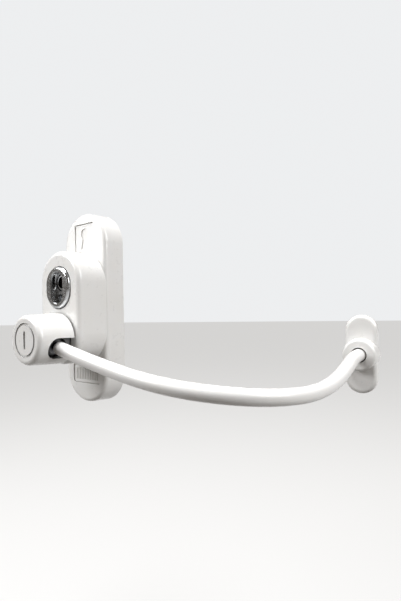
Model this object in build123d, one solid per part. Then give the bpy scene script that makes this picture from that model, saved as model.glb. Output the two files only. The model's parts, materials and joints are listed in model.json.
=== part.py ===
from build123d import *
import math
import os

# Window restrictor cable: a key lock on the frame, a plug with a swivelling knob, a sheathed
# wire rope and a bracket for the sash.
# Frame: X runs from the lock towards the bracket, Y into the wall, Z up. The origin is the
# centre of the lock's mounting face. "Depth" is the distance out from a mounting face, along -Y.

# ---- driving dimensions, mm ----
lock_height = 78.0
lock_width = 26.0
base_depth = 9.0
base_taper = 4.0
base_round = 1.6

block_depth = 21.3
block_width = 24.6
block_top_z = 22.2
block_bottom_z = -22.4
block_taper = 1.5
block_round = 1.8

socket_z = -11.8
key_z = 7.6
core_z = 9.7

plate_thickness = 1.6
rim = 2.6
screw_hole_d = 3.6

top_cap_size = (11.4, 11.4)
top_cap_z = 28.7
bottom_cap_size = (16.0, 7.4)
bottom_cap_z = -27.0
cap_thickness = 1.5
cap_sink = 0.4

surround_size = (14.4, 16.6)
surround_gap = 0.3
surround_rise = 1.0
surround_round = 0.9
pocket_depth = 1.4
keyway_size = (6.4, 11.6)
keyhole_d = 4.6
keyhole_depth = 4.2
core_d = 6.4
barrel_d = 12.4

sleeve_d = 11.0
spindle_d = 6.0
running_gap = 0.05
latch_width = 7.6
latch_thickness = 1.8
latch_depth = 9.9
latch_travel = 1.6

knob_base_d = 19.3
knob_face_d = 17.9
knob_edge_round = 1.7
mark_depth = 0.4
knob_back_depth = 21.8
knob_front_depth = 35.6
knob_insert_d = 14.4
knob_slot_width = 8.0
knob_slot_shift = 1.0

cable_d = 5.0
rope_d = 3.0
cable_depth = 26.9
exit_angle = 14.0
exit_drop = 1.2
exit_radius = 7.5
ferrule_end_radius = 5.4
mouth_d = 7.2
mouth_radius = 4.6

bracket_origin = (94.0, 53.8, -20.2)
bracket_height = 31.8
bracket_width = 12.2
bracket_depth = 3.0
dome_d = 13.7
dome_front_d = 12.4
dome_round = 1.1
dome_depth = 7.2
bracket_hole_d = 6.0
bush_front_depth = 5.0
sheath_end_depth = 4.4
fitting_d = 5.6
bracket_screw_z = 9.6

clearance = 0.1

# ---- positions worked out from them ----
block_height = block_top_z - block_bottom_z
block_mid_z = (block_top_z + block_bottom_z) / 2
sleeve_bore_d = spindle_d + 2 * running_gap
socket_bore_d = sleeve_d + 2 * running_gap
# A quarter turn of the crank, from 45 degrees up to 45 degrees down, gives the latch its travel.
crank_radius = latch_travel / math.sqrt(2)
latch_tip_z = socket_z + sleeve_d / 2 + 0.25
latch_top_z = core_z + 5.5
spring_top_z = latch_top_z + 4.0
exit_x = math.cos(math.radians(exit_angle))
exit_z = -math.sin(math.radians(exit_angle))


def exit_point(radius):
    """A point on the line that the cable takes out of the knob, just below the knob's axis."""
    return (radius * exit_x, -cable_depth, socket_z - exit_drop + radius * exit_z)


def bracket_point(depth):
    x, y, z = bracket_origin
    return (x, y - depth, z)


# The cable's route, from the knob's slot to the bracket's end fitting.
cable_route = [
    exit_point(exit_radius),
    exit_point(19.5),
    (31.5, -27.2, -20.3),
    (44.5, -28.4, -22.4),
    (57.5, -28.6, -24.0),
    (69.5, -26.2, -25.2),
    (79.6, -19.8, -26.4),
    (86.6, -10.2, -27.4),
    (91.0, 2.0, -27.9),
    (93.2, 15.0, -26.5),
    (93.8, 27.0, -23.7),
    bracket_point(15.0),
    bracket_point(sheath_end_depth),
]


# ---- helpers ----
def facing(x, z, depth, wall_y=0.0):
    """A sketch plane parallel to the wall, looking out of it, at a depth in front of it."""
    return Plane((x, wall_y - depth, z), x_dir=(1, 0, 0), z_dir=(0, -1, 0))


def stadium(x, z, width, height, start, stop, taper=0.0, wall_y=0.0):
    outline = SlotOverall(height, width, rotation=90)
    return extrude(facing(x, z, start, wall_y) * outline, amount=stop - start, taper=taper)


def disc(x, z, diameter, start, stop, wall_y=0.0):
    return extrude(facing(x, z, start, wall_y) * Circle(diameter / 2), amount=stop - start)


def cone(x, z, back_d, front_d, start, stop, wall_y=0.0):
    back = facing(x, z, start, wall_y) * Circle(back_d / 2)
    front = facing(x, z, stop, wall_y) * Circle(front_d / 2)
    return loft([back, front])


def block(x, z, width, height, start, stop, wall_y=0.0):
    return extrude(facing(x, z, start, wall_y) * Rectangle(width, height), amount=stop - start)


def rounded_block(x, z, width, height, start, stop, radius):
    outline = RectangleRounded(width, height, radius)
    return extrude(facing(x, z, start) * outline, amount=stop - start)


def front_edges(solid):
    return solid.faces().sort_by(Axis.Y)[0].edges()


def along_exit(diameter, start, stop):
    """A round bar on the cable's line out of the knob, between two distances along it."""
    plane = Plane(exit_point(start), z_dir=(exit_x, 0, exit_z))
    return extrude(plane * Circle(diameter / 2), amount=stop - start)


# ---- lock ----
def lock_body():
    base = stadium(0, 0, lock_width, lock_height, 0, base_depth, base_taper)
    base = fillet(front_edges(base), base_round)
    tower = stadium(0, block_mid_z, block_width, block_height, 0, block_depth, block_taper)
    tower = fillet(front_edges(tower), block_round)
    body = base + tower

    recess = stadium(0, 0, lock_width - 2 * rim, lock_height - 2 * rim, 0, plate_thickness)
    hollow = stadium(0, 0, 18.0, 38.0, plate_thickness, latch_depth - 0.5)
    body -= recess + hollow

    channel_top = latch_top_z + 0.3
    channel_depth = latch_depth - 0.6
    channel_height = channel_top - socket_z
    channel = block(
        0, (channel_top + socket_z) / 2, latch_width + 0.4, channel_height,
        channel_depth, latch_depth + latch_thickness + 0.3,
    )
    spring_well = Plane((0, -latch_depth - latch_thickness / 2, channel_top - 1)) * Circle(1.9)
    body -= channel + extrude(spring_well, amount=spring_top_z - channel_top + 1)

    socket = disc(0, socket_z, sleeve_d + 2.6, latch_depth - 1, block_depth + 1)
    key_seat = stadium(0, key_z, *surround_size, block_depth - 4.0, block_depth + 1)
    barrel_seat = disc(0, core_z, barrel_d, channel_depth, block_depth - 3)
    body -= socket + key_seat + barrel_seat

    for cap_z, size, head_d in screw_caps():
        front = base_depth - cap_sink - cap_thickness
        cap_seat = rounded_block(
            0, cap_z, size[0] + 2 * clearance, size[1] + 2 * clearance, front, base_depth + 1, 0.8
        )
        head_room = disc(0, cap_z, head_d, front - 2.6, front)
        body -= cap_seat + head_room + disc(0, cap_z, screw_hole_d, 0, base_depth)
    for x, z in plate_screw_places():
        body -= disc(x, z, 1.6, plate_thickness, plate_thickness + 4.0)
    return body


def screw_caps():
    """Place, size and screw head room of the two caps."""
    return [(top_cap_z, top_cap_size, 8.0), (bottom_cap_z, bottom_cap_size, 6.5)]


def plate_screw_places():
    return [(8.0, 24.5), (-8.0, 24.5), (8.0, -22.6), (-8.0, -22.6)]


def lock_backplate():
    width = lock_width - 2 * rim - 2 * clearance
    height = lock_height - 2 * rim - 2 * clearance
    plate = stadium(0, 0, width, height, 0, plate_thickness)
    for cap_z, _, _ in screw_caps():
        plate -= disc(0, cap_z, screw_hole_d, 0, plate_thickness)
    for x, z in plate_screw_places():
        plate -= disc(x, z, 3.4, 0, 0.9) + disc(x, z, 1.8, 0, plate_thickness)
    return plate


def backplate_screws():
    screws = []
    for x, z in plate_screw_places():
        slot = block(x, z, 2.4, 0.4, 0, 0.45)
        screws.append(disc(x, z, 3.2, 0.1, 0.9) + disc(x, z, 1.6, 0.9, 5.2) - slot)
    return Compound(children=screws)


def screw_cap(cap_z, size):
    front = base_depth - cap_sink
    cap = rounded_block(0, cap_z, size[0], size[1], front - cap_thickness, front, 0.7)
    return chamfer(front_edges(cap), 0.25)


def top_screw_cap():
    """A plain keyhole is sunk in this cap."""
    low = base_depth - cap_sink - mark_depth
    ward = facing(0, top_cap_z - 1.8, low) * Trapezoid(4.6, 5.2, 78)
    mark = disc(0, top_cap_z + 1.7, 4.6, low, base_depth) + extrude(ward, amount=1)
    return screw_cap(top_cap_z, top_cap_size) - mark


def bottom_screw_cap():
    """Grip grooves run across this cap."""
    front = base_depth - cap_sink
    cap = screw_cap(bottom_cap_z, bottom_cap_size)
    for step in range(-6, 7):
        cap -= block(step * 1.05, bottom_cap_z, 0.45, 4.8, front - 0.3, front)
    return cap


def key_surround():
    front = block_depth + surround_rise
    rim_part = stadium(
        0, key_z, surround_size[0] - 2 * surround_gap, surround_size[1] - 2 * surround_gap,
        block_depth - 4.0, front,
    )
    rim_part = fillet(front_edges(rim_part), surround_round)
    mouth = stadium(0, key_z, keyway_size[0] + 0.9, keyway_size[1] + 0.9, front - 0.4, front)
    keyway = stadium(0, key_z, *keyway_size, block_depth - pocket_depth, front)
    core_hole = disc(0, core_z, core_d + 0.2, block_depth - 4, front)
    lug_slot = block(0, key_z - 3.9, 4.2, 3.0, block_depth - 3.4, front)
    return rim_part - mouth - keyway - core_hole - lug_slot


def cylinder_barrel():
    back = latch_depth + latch_thickness + 0.6
    barrel = disc(0, core_z, barrel_d, back, block_depth - 4.0)
    bore = disc(0, core_z, core_d + 2 * running_gap, back, block_depth)
    barrel -= bore + disc(0, core_z, core_d + 2.6, back, back + 1.3)
    for depth in pin_depths():
        barrel -= pin_bar(depth, 0.65, core_d / 2, barrel_d / 2)
    return barrel


def pin_depths():
    return [14.9, 16.4]


def pin_bar(depth, radius, low, high):
    """An upright bar over the key core, between two heights above its axis."""
    return extrude(Plane((0, -depth, core_z + low)) * Circle(radius), amount=high - low)


def tumbler_pins():
    low = core_d / 2 + 0.15
    return Compound(children=[pin_bar(depth, 0.6, low, low + 1.2) for depth in pin_depths()])


def tumbler_springs():
    low = core_d / 2 + 1.4
    high = barrel_d / 2 - 0.1
    return Compound(
        children=[
            pin_bar(depth, 0.55, low, high) - pin_bar(depth, 0.35, low, high)
            for depth in pin_depths()
        ]
    )


def socket_sleeve():
    sleeve = disc(0, socket_z, sleeve_d + 2.6, latch_depth - 1, block_depth)
    sleeve = sleeve - disc(0, socket_z, socket_bore_d, latch_depth - 1, block_depth)
    window = block(
        0, socket_z + 7, latch_width + 0.4, 10.0,
        latch_depth - 0.2, latch_depth + latch_thickness + 0.3,
    )
    return sleeve - window


def key_core():
    back = latch_depth + latch_thickness + 0.8
    front = block_depth - pocket_depth - 0.1
    core = disc(0, core_z, core_d, back, front) + disc(0, core_z, core_d + 2.0, back, back + 0.9)
    core = chamfer(front_edges(core), 0.5)
    return core - disc(0, core_z, keyhole_d, front - keyhole_depth, front)


def key_cam():
    """The crank behind the key core, with its pin in the latch's cross slot."""
    top = latch_depth + latch_thickness + 0.8
    offset = crank_radius * math.sqrt(0.5)
    pin = disc(offset, core_z + offset, 2.0, latch_depth + 0.1, top - 0.6)
    return disc(0, core_z, 7.0, top - 0.6, top) + pin


def latch_plate():
    height = latch_top_z - latch_tip_z
    mid_z = (latch_top_z + latch_tip_z) / 2
    front = latch_depth + latch_thickness
    plate = block(0, mid_z, latch_width, height, latch_depth, front)
    slot_z = core_z + crank_radius * math.sqrt(0.5)
    slot = facing(0.9, slot_z, latch_depth) * SlotOverall(4.6, 2.3)
    plate -= extrude(slot, amount=latch_thickness)
    peg = Plane((0, -latch_depth - latch_thickness / 2, latch_top_z)) * Circle(0.7)
    return plate + extrude(peg, amount=1.2)


def latch_spring():
    """A four turn coil between the latch and the block."""
    wire = 0.5
    height = spring_top_z - latch_top_z - wire - 0.1
    helix = Helix(pitch=height / 4, height=height, radius=1.25)
    start = Plane(helix @ 0, z_dir=helix % 0)
    coil = sweep(start * Circle(wire / 2), path=helix, is_frenet=True)
    lift = latch_top_z + wire / 2 + 0.05
    return Pos(0, -latch_depth - latch_thickness / 2, lift) * coil


# ---- plug ----
def plug_sleeve():
    """The steel sleeve that the latch holds. The knob's spindle turns in it."""
    sleeve = disc(0, socket_z, sleeve_d, 7.2, knob_back_depth - 0.3)
    groove = disc(0, socket_z, sleeve_d + 2, latch_depth - 0.2, latch_depth + latch_thickness + 0.2)
    groove = groove - disc(0, socket_z, 8.0, latch_depth - 1, latch_depth + latch_thickness + 1)
    bore = disc(0, socket_z, sleeve_bore_d, 7, knob_back_depth)
    return sleeve - groove - bore


# ---- knob ----
def knob_insert():
    front = knob_front_depth - 3.6
    barrel = disc(0, socket_z, knob_insert_d, knob_back_depth + 0.2, front)
    spindle = disc(0, socket_z, spindle_d, 5.0, knob_back_depth + 0.2)
    spindle = chamfer(spindle.faces().sort_by(Axis.Y)[-1].edges(), 0.5)
    groove = disc(0, socket_z, spindle_d + 2, 5.9, 6.7) - disc(0, socket_z, 4.6, 5.9, 6.7)
    seat = along_exit(fitting_d, -3.4, knob_insert_d)
    seat = seat + along_exit(mouth_d, mouth_radius, knob_insert_d)
    pin_hole = Pos(exit_point(3.0)) * Rot(90, 0, 0) * Cylinder(0.8, 20)
    keep = disc(0, socket_z, knob_insert_d, knob_back_depth, cable_depth)
    return barrel - seat - (pin_hole - keep) + (spindle - groove)


def spindle_clip():
    """An open ring in the spindle's groove that holds the sleeve on."""
    ring = disc(0, socket_z, 8.8, 5.9, 6.7) - disc(0, socket_z, 4.6, 5.9, 6.7)
    return ring - block(0, socket_z - 4, 2.6, 6, 5.5, 7)


def knob_cap():
    shell = cone(0, socket_z, knob_base_d, knob_face_d, knob_back_depth, knob_front_depth)
    shell = fillet(front_edges(shell), knob_edge_round)
    cavity = disc(0, socket_z, knob_insert_d, knob_back_depth, knob_front_depth - 3.6)
    return shell - cavity - knob_slot() - knob_mark()


def knob_slot():
    """A slot that is open towards the lock, with a round end beyond the cable."""
    run = cable_depth - knob_back_depth + 1
    side = Plane(
        exit_point(knob_base_d / 2 + 1), x_dir=(exit_z, 0, -exit_x), z_dir=(exit_x, 0, exit_z)
    )
    round_end = side * Pos(0, -knob_slot_shift) * Circle(knob_slot_width / 2)
    middle = (run - knob_slot_shift) / 2
    outline = round_end + side * Pos(0, middle) * Rectangle(knob_slot_width, run + knob_slot_shift)
    return extrude(outline, amount=-(knob_base_d / 2 + 1))


def knob_mark():
    """A plain ring round a pointer bar, sunk in the knob's face."""
    low = knob_front_depth - mark_depth
    ring = disc(0, socket_z, 12.4, low, knob_front_depth)
    ring = ring - disc(0, socket_z, 10.8, low, knob_front_depth)
    return ring + rounded_block(0, socket_z, 1.3, 6.4, low, knob_front_depth, 0.6)


def cable_ferrule():
    """The crimped sleeve that anchors the rope in the knob."""
    return along_exit(fitting_d, -3.0, ferrule_end_radius) - along_exit(rope_d, -3.0, exit_radius)


def ferrule_pin():
    pin = extrude(Plane(exit_point(3.0), z_dir=(0, -1, 0)) * Circle(0.8), amount=4.9)
    return pin - along_exit(fitting_d, 0, 7)


# ---- cable ----
def corner_radii(points):
    radii = []
    for before, corner, after in zip(points, points[1:], points[2:]):
        first = Vector(corner) - Vector(before)
        second = Vector(after) - Vector(corner)
        half_turn = math.radians(first.get_angle(second)) / 2
        radii.append(0.45 * min(first.length, second.length) / math.tan(half_turn))
    return radii


def tube(points, radii, outer, inner=0.0):
    path = FilletPolyline(*points, radius=radii)
    start = Plane(points[0], z_dir=Vector(points[1]) - Vector(points[0]))
    section = start * Circle(outer / 2)
    if inner:
        section = section - start * Circle(inner / 2)
    solid = sweep(section, path=path)
    return solid, path.length


def cable_sheath():
    radii = corner_radii(cable_route)
    sheath, length = tube(cable_route, radii, cable_d, rope_d)
    area = math.pi * (cable_d**2 - rope_d**2) / 4
    print("cable radii", [round(r, 1) for r in radii])
    print("cable length", round(length, 1), "volume ratio", round(sheath.volume / area / length, 4))
    return sheath


def cable_rope():
    """The wire rope, inside the sheath and on into the two end fittings."""
    radii = corner_radii(cable_route)
    points = [exit_point(-2.6), *cable_route[1:-1], bracket_point(3.4)]
    rope, length = tube(points, radii, rope_d)
    print("rope length", round(length, 1), "volume ratio", round(rope.volume / length / 7.0686, 4))
    return rope


def cable_end_fitting():
    """The headed fitting that turns in the bracket."""
    x, y, z = bracket_origin
    head = disc(x, z, 8.2, 0.9, 2.4, y)
    shank = disc(x, z, fitting_d, 2.4, sheath_end_depth, y)
    return head + shank - disc(x, z, rope_d, 3.4, 6, y)


# ---- bracket ----
def bracket_base():
    x, y, z = bracket_origin
    plate = stadium(x, z, bracket_width - 3.2, bracket_height - 3.2, 0, 1.2, 0, y)
    boss = disc(x, z, 9.6, 0, 5.5, y)
    head_seat = disc(x, z, 8.6, 0, 2.6, y)
    bush_seat = disc(x, z, 7.4, 2.6, 6, y)
    base = plate + boss - head_seat - bush_seat
    for sign in (-1, 1):
        base -= disc(x, z + sign * bracket_screw_z, screw_hole_d, 0, 2, y)
    return base


def bracket_bush():
    x, y, z = bracket_origin
    return disc(x, z, 7.4, 2.6, bush_front_depth, y) - disc(x, z, fitting_d + 2 * running_gap, 2.6, 6, y)


def bracket_retainer():
    """The disc that closes the back, behind the fitting's head."""
    x, y, z = bracket_origin
    return disc(x, z, 8.6, 0.1, 0.8, y)


def bracket_cover():
    x, y, z = bracket_origin
    shell = stadium(x, z, bracket_width, bracket_height, 0, bracket_depth, 0, y)
    shell = fillet(front_edges(shell), 1.6)
    dome = cone(x, z, dome_d, dome_front_d, 0, dome_depth, y)
    dome = fillet(front_edges(dome), dome_round)
    cavity = stadium(x, z, bracket_width - 3.0, bracket_height - 3.0, 0, 2.0, 0, y)
    cavity = cavity + disc(x, z, 9.8, 0, 5.7, y)
    hole = disc(x, z, bracket_hole_d, 5, 8, y)
    return shell + dome - cavity - hole


nodes = {
    "lock_body": lock_body,
    "lock_backplate": lock_backplate,
    "backplate_screws": backplate_screws,
    "top_screw_cap": top_screw_cap,
    "bottom_screw_cap": bottom_screw_cap,
    "key_surround": key_surround,
    "cylinder_barrel": cylinder_barrel,
    "tumbler_pins": tumbler_pins,
    "tumbler_springs": tumbler_springs,
    "socket_sleeve": socket_sleeve,
    "key_core": key_core,
    "key_cam": key_cam,
    "latch_plate": latch_plate,
    "latch_spring": latch_spring,
    "plug_sleeve": plug_sleeve,
    "knob_insert": knob_insert,
    "spindle_clip": spindle_clip,
    "knob_cap": knob_cap,
    "cable_ferrule": cable_ferrule,
    "ferrule_pin": ferrule_pin,
    "cable_sheath": cable_sheath,
    "cable_rope": cable_rope,
    "cable_end_fitting": cable_end_fitting,
    "bracket_base": bracket_base,
    "bracket_bush": bracket_bush,
    "bracket_retainer": bracket_retainer,
    "bracket_cover": bracket_cover,
}

os.makedirs("parts", exist_ok=True)
for name, make in nodes.items():
    export_step(make(), f"parts/{name}.step")
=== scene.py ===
import json
import math

import bpy
from mathutils import Matrix, Vector


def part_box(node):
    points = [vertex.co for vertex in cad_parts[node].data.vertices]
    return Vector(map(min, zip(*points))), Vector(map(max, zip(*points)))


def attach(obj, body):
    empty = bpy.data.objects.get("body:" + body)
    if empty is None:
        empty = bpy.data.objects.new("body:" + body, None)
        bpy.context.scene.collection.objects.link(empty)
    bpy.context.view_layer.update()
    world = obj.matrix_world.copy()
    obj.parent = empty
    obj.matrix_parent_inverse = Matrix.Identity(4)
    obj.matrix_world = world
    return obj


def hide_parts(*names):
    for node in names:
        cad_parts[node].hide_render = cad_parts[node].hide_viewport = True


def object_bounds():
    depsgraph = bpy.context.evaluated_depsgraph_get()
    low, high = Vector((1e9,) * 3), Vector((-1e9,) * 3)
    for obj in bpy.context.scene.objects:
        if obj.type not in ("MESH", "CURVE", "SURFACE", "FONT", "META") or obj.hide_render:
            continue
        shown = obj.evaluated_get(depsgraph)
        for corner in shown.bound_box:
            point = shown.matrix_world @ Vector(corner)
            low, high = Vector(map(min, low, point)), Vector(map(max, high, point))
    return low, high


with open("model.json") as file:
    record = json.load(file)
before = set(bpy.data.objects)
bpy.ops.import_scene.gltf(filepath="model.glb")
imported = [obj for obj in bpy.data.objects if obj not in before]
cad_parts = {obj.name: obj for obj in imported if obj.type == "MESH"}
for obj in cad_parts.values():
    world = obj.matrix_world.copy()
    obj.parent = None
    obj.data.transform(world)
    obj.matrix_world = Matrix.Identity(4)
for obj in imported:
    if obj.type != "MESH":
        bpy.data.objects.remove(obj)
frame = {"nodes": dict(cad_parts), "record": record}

cad_low, cad_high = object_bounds()
scene = bpy.context.scene
nodes = frame["nodes"]

# ---- camera ----
CAMERA_PLACE = Vector((0.1268, -0.1111, -0.0048))
CAMERA_YAW = math.radians(-34.295)
CAMERA_PITCH = math.radians(-0.864)
CAMERA_ROLL = math.radians(-0.785)
CAMERA_LENS = 22.74
CAMERA_SHIFT_Y = 0.039


def make_camera():
    forward = Vector((
        math.sin(CAMERA_YAW) * math.cos(CAMERA_PITCH),
        math.cos(CAMERA_YAW) * math.cos(CAMERA_PITCH),
        math.sin(CAMERA_PITCH),
    ))
    level_right = Vector((math.cos(CAMERA_YAW), -math.sin(CAMERA_YAW), 0))
    level_up = level_right.cross(forward)
    right = math.cos(CAMERA_ROLL) * level_right + math.sin(CAMERA_ROLL) * level_up
    up = math.cos(CAMERA_ROLL) * level_up - math.sin(CAMERA_ROLL) * level_right
    data = bpy.data.cameras.new("camera")
    data.lens = CAMERA_LENS
    data.sensor_width = 36
    data.shift_y = CAMERA_SHIFT_Y
    data.clip_start, data.clip_end = 0.005, 20
    camera = bpy.data.objects.new("camera", data)
    turned = Matrix((right, up, -forward)).transposed().to_4x4()
    camera.matrix_world = Matrix.Translation(CAMERA_PLACE) @ turned
    scene.collection.objects.link(camera)
    scene.camera = camera


# ---- the cable's route, as in the CAD, in metres ----
EXIT_ANGLE = math.radians(14)
EXIT_DROP = 0.0012
EXIT_Y = -0.0269
KNOB_AXIS_Z = -0.0118
CABLE_DIAMETER = 0.005
ROPE_DIAMETER = 0.003


def exit_point(radius):
    """A point on the line that the cable takes out of the knob, just below the knob's axis."""
    across, down = math.cos(EXIT_ANGLE), math.sin(EXIT_ANGLE)
    return (radius * across, EXIT_Y, KNOB_AXIS_Z - EXIT_DROP - radius * down)


cable_route = [
    exit_point(0.0075),
    exit_point(0.0195),
    (0.0315, -0.0272, -0.0203),
    (0.0445, -0.0284, -0.0224),
    (0.0575, -0.0286, -0.0240),
    (0.0695, -0.0262, -0.0252),
    (0.0796, -0.0198, -0.0264),
    (0.0866, -0.0102, -0.0274),
    (0.0910, 0.0020, -0.0279),
    (0.0932, 0.0150, -0.0265),
    (0.0938, 0.0270, -0.0237),
    (0.0940, 0.0388, -0.0202),
    (0.0940, 0.0494, -0.0202),
]


# ---- material helpers ----
def new_material(name):
    material = bpy.data.materials.new(name)
    material.use_nodes = True
    tree = material.node_tree
    return material, tree, tree.nodes["Principled BSDF"]


def noise(tree, scale, detail, rough=0.5, vector=None):
    node = tree.nodes.new("ShaderNodeTexNoise")
    node.inputs["Scale"].default_value = scale
    node.inputs["Detail"].default_value = detail
    node.inputs["Roughness"].default_value = rough
    if vector is None:
        vector = tree.nodes.new("ShaderNodeTexCoord").outputs["Object"]
    tree.links.new(vector, node.inputs["Vector"])
    return node.outputs["Fac"]


def spread(tree, value, low, high, from_low=0.3, from_high=0.7):
    node = tree.nodes.new("ShaderNodeMapRange")
    node.inputs["From Min"].default_value = from_low
    node.inputs["From Max"].default_value = from_high
    node.inputs["To Min"].default_value = low
    node.inputs["To Max"].default_value = high
    tree.links.new(value, node.inputs["Value"])
    return node.outputs["Result"]


def two_tones(tree, value, first, second):
    """Goes from the first colour to the second. Each is a tone or another node's output."""
    node = tree.nodes.new("ShaderNodeMix")
    node.data_type = "RGBA"
    for socket, colour in ((node.inputs["A"], first), (node.inputs["B"], second)):
        if isinstance(colour, tuple):
            socket.default_value = (*colour, 1)
        else:
            tree.links.new(colour, socket)
    tree.links.new(value, node.inputs["Factor"])
    return node.outputs["Result"]


def bump(tree, shader, value, height):
    node = tree.nodes.new("ShaderNodeBump")
    node.inputs["Strength"].default_value = 1
    node.inputs["Distance"].default_value = height
    tree.links.new(value, node.inputs["Height"])
    tree.links.new(node.outputs["Normal"], shader.inputs["Normal"])


SHADE_SAMPLES = 8
# A corner this open gets no painted shade or dust.
NO_SHADE_OR_DUST_OPENNESS = 0.75


def corner_shade_and_dust(tree, colour, dark, reach):
    """Goes to the dark tone in inner corners: painted shade where light doesn't reach, and dust where it
    collects.
    """
    node = tree.nodes.new("ShaderNodeAmbientOcclusion")
    node.inputs["Distance"].default_value = reach
    node.samples = SHADE_SAMPLES
    openness = spread(tree, node.outputs["AO"], 0, 1, 0, NO_SHADE_OR_DUST_OPENNESS)
    return two_tones(tree, openness, dark, colour)


# Tone of the enamel's inner corners: dust together with painted shade.
CORNER_DUST_AND_SHADE = (0.62, 0.6, 0.57)
WARM_SHIFT = (0.985, 0.98, 0.965)
MOTTLE_SCALE, GLOSS_SCALE, PEEL_SCALE = 120, 500, 1400


def enamel(name, tone, roughness, peel_height, coat=0.35, corner_dust_and_shade_tone=CORNER_DUST_AND_SHADE, reach=0.0012):
    """Smooth white paint or moulded plastic: a soft gloss, a fine orange peel, faint mottling."""
    material, tree, shader = new_material(name)
    warm = tuple(c * f for c, f in zip(tone, WARM_SHIFT))
    mottled = two_tones(tree, spread(tree, noise(tree, MOTTLE_SCALE, 4), 0, 1), tone, warm)
    # Inner corners darken to the corner tone: painted shade and dust.
    tree.links.new(corner_shade_and_dust(tree, mottled, corner_dust_and_shade_tone, reach), shader.inputs["Base Color"])
    gloss = spread(tree, noise(tree, GLOSS_SCALE, 3), roughness - 0.04, roughness + 0.05)
    tree.links.new(gloss, shader.inputs["Roughness"])
    shader.inputs["Coat Weight"].default_value = coat
    shader.inputs["Coat Roughness"].default_value = 0.12
    shader.inputs["Subsurface Weight"].default_value = 0.04
    shader.inputs["Subsurface Radius"].default_value = (0.0012, 0.001, 0.0009)
    bump(tree, shader, noise(tree, PEEL_SCALE, 2), peel_height)
    return material


def metal(name, tone, roughness, streak=None, grain=2500, height=4e-6, shade_reach=0.004):
    """Bare or plated metal. streak stretches the grain along one axis, as a lathe or brush does."""
    material, tree, shader = new_material(name)
    coords = tree.nodes.new("ShaderNodeTexCoord").outputs["Object"]
    if streak:
        mapping = tree.nodes.new("ShaderNodeMapping")
        mapping.inputs["Scale"].default_value = streak
        tree.links.new(coords, mapping.inputs["Vector"])
        coords = mapping.outputs["Vector"]
    fine = noise(tree, grain, 4, 0.6, coords)
    dark = tuple(c * 0.82 for c in tone)
    grained = two_tones(tree, spread(tree, fine, 0, 1), dark, tone)
    # Inner corners and hollows of the metal go near black: painted shade.
    painted_corner_shade = tuple(c * 0.05 for c in tone)
    tree.links.new(corner_shade_and_dust(tree, grained, painted_corner_shade, shade_reach), shader.inputs["Base Color"])
    tree.links.new(spread(tree, fine, roughness * 0.7, roughness * 1.4), shader.inputs["Roughness"])
    shader.inputs["Metallic"].default_value = 1
    bump(tree, shader, fine, height)
    return material


# Painted shade in the key core's hole begins and is full at these depths behind its face.
HOLE_DARK_FROM, HOLE_DARK_AT = 0.0006, 0.0012
HOLE_PAINTED_SHADE = (0.01, 0.01, 0.01)


def core_metal():
    """Bright on the key core's face and at its hole's edge, with near-black painted shade further in."""
    material = metal("core_steel", (0.8, 0.8, 0.81), 0.2, height=2e-6, shade_reach=0.001)
    tree = material.node_tree
    base_colour = tree.nodes["Principled BSDF"].inputs["Base Color"]
    bright = base_colour.links[0].from_socket
    coords = tree.nodes.new("ShaderNodeTexCoord").outputs["Object"]
    split = tree.nodes.new("ShaderNodeSeparateXYZ")
    tree.links.new(coords, split.inputs["Vector"])
    face_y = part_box("key_core")[0][1]
    depth = spread(tree, split.outputs["Y"], 0, 1, face_y + HOLE_DARK_FROM, face_y + HOLE_DARK_AT)
    # The hole's inside goes to the painted shade.
    tree.links.new(two_tones(tree, depth, bright, HOLE_PAINTED_SHADE), base_colour)
    return material


PAINT_WHITE = (0.86, 0.86, 0.855)

materials = {
    "white_enamel": enamel("white_enamel", PAINT_WHITE, 0.3, 4e-6),
    "white_plastic": enamel("white_plastic", (0.84, 0.84, 0.835), 0.38, 6e-6, coat=0.15),
    "white_pvc": enamel("white_pvc", (0.87, 0.87, 0.87), 0.33, 5e-6, coat=0.25),
    "chrome": metal("chrome", (0.6, 0.61, 0.62), 0.2, grain=1500, height=1e-6, shade_reach=0.003),
    "steel": metal("steel", (0.55, 0.56, 0.57), 0.28, streak=(1, 12, 1)),
    "screw_steel": metal("screw_steel", (0.62, 0.62, 0.64), 0.25),
    "rope_steel": metal("rope_steel", (0.48, 0.49, 0.5), 0.32),
    "dark_zinc": metal(
        "dark_zinc", (0.27, 0.27, 0.275), 0.42, streak=(1, 6, 1), grain=1800, height=8e-6,
    ),
    "zinc_plate": metal("zinc_plate", (0.5, 0.51, 0.52), 0.45, grain=1200, height=1e-5),
    "brass": metal("brass", (0.68, 0.5, 0.24), 0.3, streak=(1, 10, 1)),
}
# The knob's slot is deep, so its walls lie in more shade than the rest of the white parts.
SLOT_SHADE = (0.03, 0.03, 0.03)
knob_enamel = enamel("knob_enamel", PAINT_WHITE, 0.3, 4e-6, corner_dust_and_shade_tone=SLOT_SHADE, reach=0.005)
own_materials = {"knob_cap": knob_enamel, "key_core": core_metal()}


def dress_nodes():
    for part in frame["record"]["subparts"]:
        node = part["node"]
        mesh = nodes[node].data
        mesh.materials.clear()
        slot_material = materials[part["material_slot"]]
        mesh.materials.append(own_materials.get(node, slot_material))


# ---- cable ----
STRAND_DIAMETER = ROPE_DIAMETER / 3
STRAND_LAY = 0.016
STRANDS = 6
STRAND_SIDES = 10
ROPE_START = -0.0026
ROPE_PAST_SHEATH = 0.001
SHEATH_SIDES = 40
SHEATH_LIP = 0.0002
ROPE_PLAY = 0.00005


def route_curve(points):
    curve = bpy.data.curves.new("route", "CURVE")
    curve.dimensions = "3D"
    spline = curve.splines.new("NURBS")
    spline.points.add(len(points) - 1)
    for point, place in zip(spline.points, points):
        point.co = (*place, 1)
    spline.order_u = 3
    spline.use_endpoint_u = True
    spline.resolution_u = 24
    return bpy.data.objects.new("route", curve)


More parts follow.
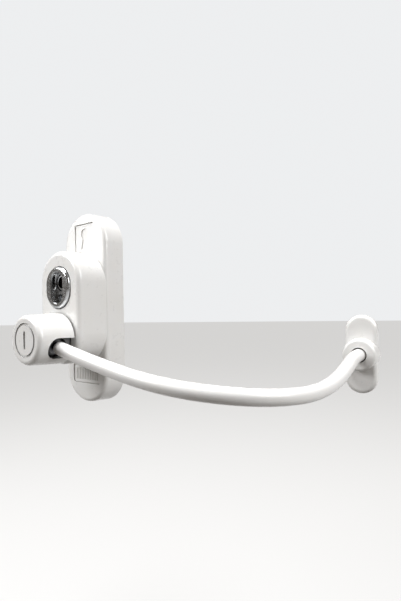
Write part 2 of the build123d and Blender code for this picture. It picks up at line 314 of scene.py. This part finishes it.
def smooth_line(points):
    """The points of the route's smooth curve."""
    route = route_curve(points)
    scene.collection.objects.link(route)
    bpy.context.view_layer.update()
    mesh = bpy.data.meshes.new_from_object(route.evaluated_get(bpy.context.evaluated_depsgraph_get()))
    line = [vertex.co.copy() for vertex in mesh.vertices]
    bpy.data.objects.remove(route)
    return line


def frames_along(line):
    """For each point of a line, two directions across it that don't twist."""
    frames = []
    across = None
    for index, point in enumerate(line):
        ahead = line[min(index + 1, len(line) - 1)]
        behind = line[max(index - 1, 0)]
        along = (ahead - behind).normalized()
        if across is None:
            across = along.orthogonal()
        across = (across - along * across.dot(along)).normalized()
        frames.append((across, along.cross(across)))
    return frames


def ring(point, frame_axes, radius, sides):
    across, over = frame_axes
    return [
        point + radius * (math.cos(turn) * across + math.sin(turn) * over)
        for turn in (math.tau * side / sides for side in range(sides))
    ]


def tube_faces(first, count, sides, flipped=False):
    faces = []
    for row in range(count - 1):
        for side in range(sides):
            low, high = first + row * sides, first + (row + 1) * sides
            following = (side + 1) % sides
            face = (low + side, low + following, high + following, high + side)
            faces.append(face[::-1] if flipped else face)
    return faces


def mesh_piece(name, places, faces, material):
    mesh = bpy.data.meshes.new(name)
    mesh.from_pydata(places, [], faces)
    mesh.shade_smooth()
    mesh.materials.append(material)
    piece = bpy.data.objects.new(name, mesh)
    scene.collection.objects.link(piece)
    return piece


def make_sheath(line):
    """A hollow sheath with cut, slightly rounded ends."""
    sides, count = SHEATH_SIDES, len(line)
    frames = frames_along(line)
    outer, inner = CABLE_DIAMETER / 2, ROPE_DIAMETER / 2 + ROPE_PLAY
    places = []
    for index, (point, axes) in enumerate(zip(line, frames)):
        radius = outer - SHEATH_LIP if index in (0, count - 1) else outer
        places += ring(point, axes, radius, sides)
    for point, axes in zip(line, frames):
        places += ring(point, axes, inner, sides)
    inside = count * sides
    last = inside - sides
    faces = tube_faces(0, count, sides) + tube_faces(inside, count, sides, flipped=True)
    for side in range(sides):
        following = (side + 1) % sides
        faces.append((side, inside + side, inside + following, following))
        faces.append((last + following, inside + last + following, inside + last + side, last + side))
    return mesh_piece("cable", places, faces, materials["white_pvc"])


def make_rope(line):
    """Strands laid round a core strand, from behind the knob's axis to just past the sheath's end."""
    core = [Vector(exit_point(ROPE_START)), *line, line[-1] + Vector((0, ROPE_PAST_SHEATH, 0))]
    frames = frames_along(core)
    travelled = [0.0]
    for before, after in zip(core, core[1:]):
        travelled.append(travelled[-1] + (after - before).length)
    lines = [core]
    for strand in range(STRANDS):
        strand_line = []
        for point, (across, over), distance in zip(core, frames, travelled):
            turn = math.tau * (distance / STRAND_LAY + strand / STRANDS)
            offset = math.cos(turn) * across + math.sin(turn) * over
            strand_line.append(point + STRAND_DIAMETER * offset)
        lines.append(strand_line)
    places, faces = [], []
    for strand_line in lines:
        first = len(places)
        for point, axes in zip(strand_line, frames_along(strand_line)):
            places += ring(point, axes, STRAND_DIAMETER / 2, STRAND_SIDES)
        faces += tube_faces(first, len(strand_line), STRAND_SIDES)
        faces.append(tuple(reversed(range(first, first + STRAND_SIDES))))
        faces.append(tuple(range(len(places) - STRAND_SIDES, len(places))))
    return mesh_piece("wire_rope", places, faces, materials["rope_steel"])


def make_cable():
    line = smooth_line(cable_route)
    sheath = make_sheath(line)
    rope = make_rope(line)
    for piece, node, slot in ((sheath, "cable_sheath", "white_pvc"), (rope, "cable_rope", "rope_steel")):
        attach(piece, "knob")
        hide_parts(node)
    return sheath, rope, line


# ---- floor and light ----
FLOOR_DROP = 0.11
FLOOR_REACH = 12
FLOOR_GLOW = 0.62
FILL_STRENGTH = 0.14


def make_stage():
    mesh = bpy.data.meshes.new("floor")
    low = cad_low.z - FLOOR_DROP
    corners = [(x * FLOOR_REACH, y * FLOOR_REACH, low) for x, y in ((-1, -1), (1, -1), (1, 1), (-1, 1))]
    mesh.from_pydata(corners, [], [(0, 1, 2, 3)])
    floor = bpy.data.objects.new("floor", mesh)
    scene.collection.objects.link(floor)
    material, tree, shader = new_material("floor")
    shader.inputs["Base Color"].default_value = (0.25, 0.25, 0.25, 1)
    shader.inputs["Roughness"].default_value = 0.8
    shader.inputs["Emission Color"].default_value = (1.0, 0.995, 0.985, 1)
    shader.inputs["Emission Strength"].default_value = FLOOR_GLOW
    mesh.materials.append(material)
    # The floor sheds no diffuse light on the object, so that its undersides stay in shade.
    floor.visible_diffuse = False

    world = bpy.data.worlds.new("studio")
    world.use_nodes = True
    tree = world.node_tree
    light = tree.nodes["Background"]
    light.inputs["Color"].default_value = (1.0, 0.9, 0.8, 1)
    light.inputs["Strength"].default_value = FILL_STRENGTH
    backdrop = tree.nodes.new("ShaderNodeBackground")
    backdrop.inputs["Color"].default_value = (0.85, 0.86, 0.87, 1)
    mix = tree.nodes.new("ShaderNodeMixShader")
    # Only the view behind the object is paler than the light that falls on it.
    seen = tree.nodes.new("ShaderNodeLightPath").outputs["Is Camera Ray"]
    tree.links.new(seen, mix.inputs["Fac"])
    tree.links.new(light.outputs["Background"], mix.inputs[1])
    tree.links.new(backdrop.outputs["Background"], mix.inputs[2])
    tree.links.new(mix.outputs["Shader"], tree.nodes["World Output"].inputs["Surface"])
    scene.world = world
    scene.view_settings.view_transform = "Standard"


def area_light(name, place, target, size, power):
    data = bpy.data.lights.new(name, "AREA")
    data.shape = "DISK"
    data.size = size
    data.energy = power
    lamp = bpy.data.objects.new(name, data)
    lamp.location = place
    lamp.rotation_euler = (Vector(target) - Vector(place)).to_track_quat("-Z", "Y").to_euler()
    scene.collection.objects.link(lamp)


def make_lights():
    centre = (cad_low + cad_high) / 2
    area_light("top_softbox", (-0.05, -0.07, 0.5), centre, size=0.3, power=3.1)
    lock_front = (0, -0.02, 0)
    area_light("front_fill", (-0.17, -0.21, 0.16), lock_front, size=0.18, power=0.8)
    area_light("right_fill", (0.46, 0.02, 0.24), lock_front, size=0.3, power=1.9)


make_camera()
make_cable()
dress_nodes()
make_stage()
make_lights()
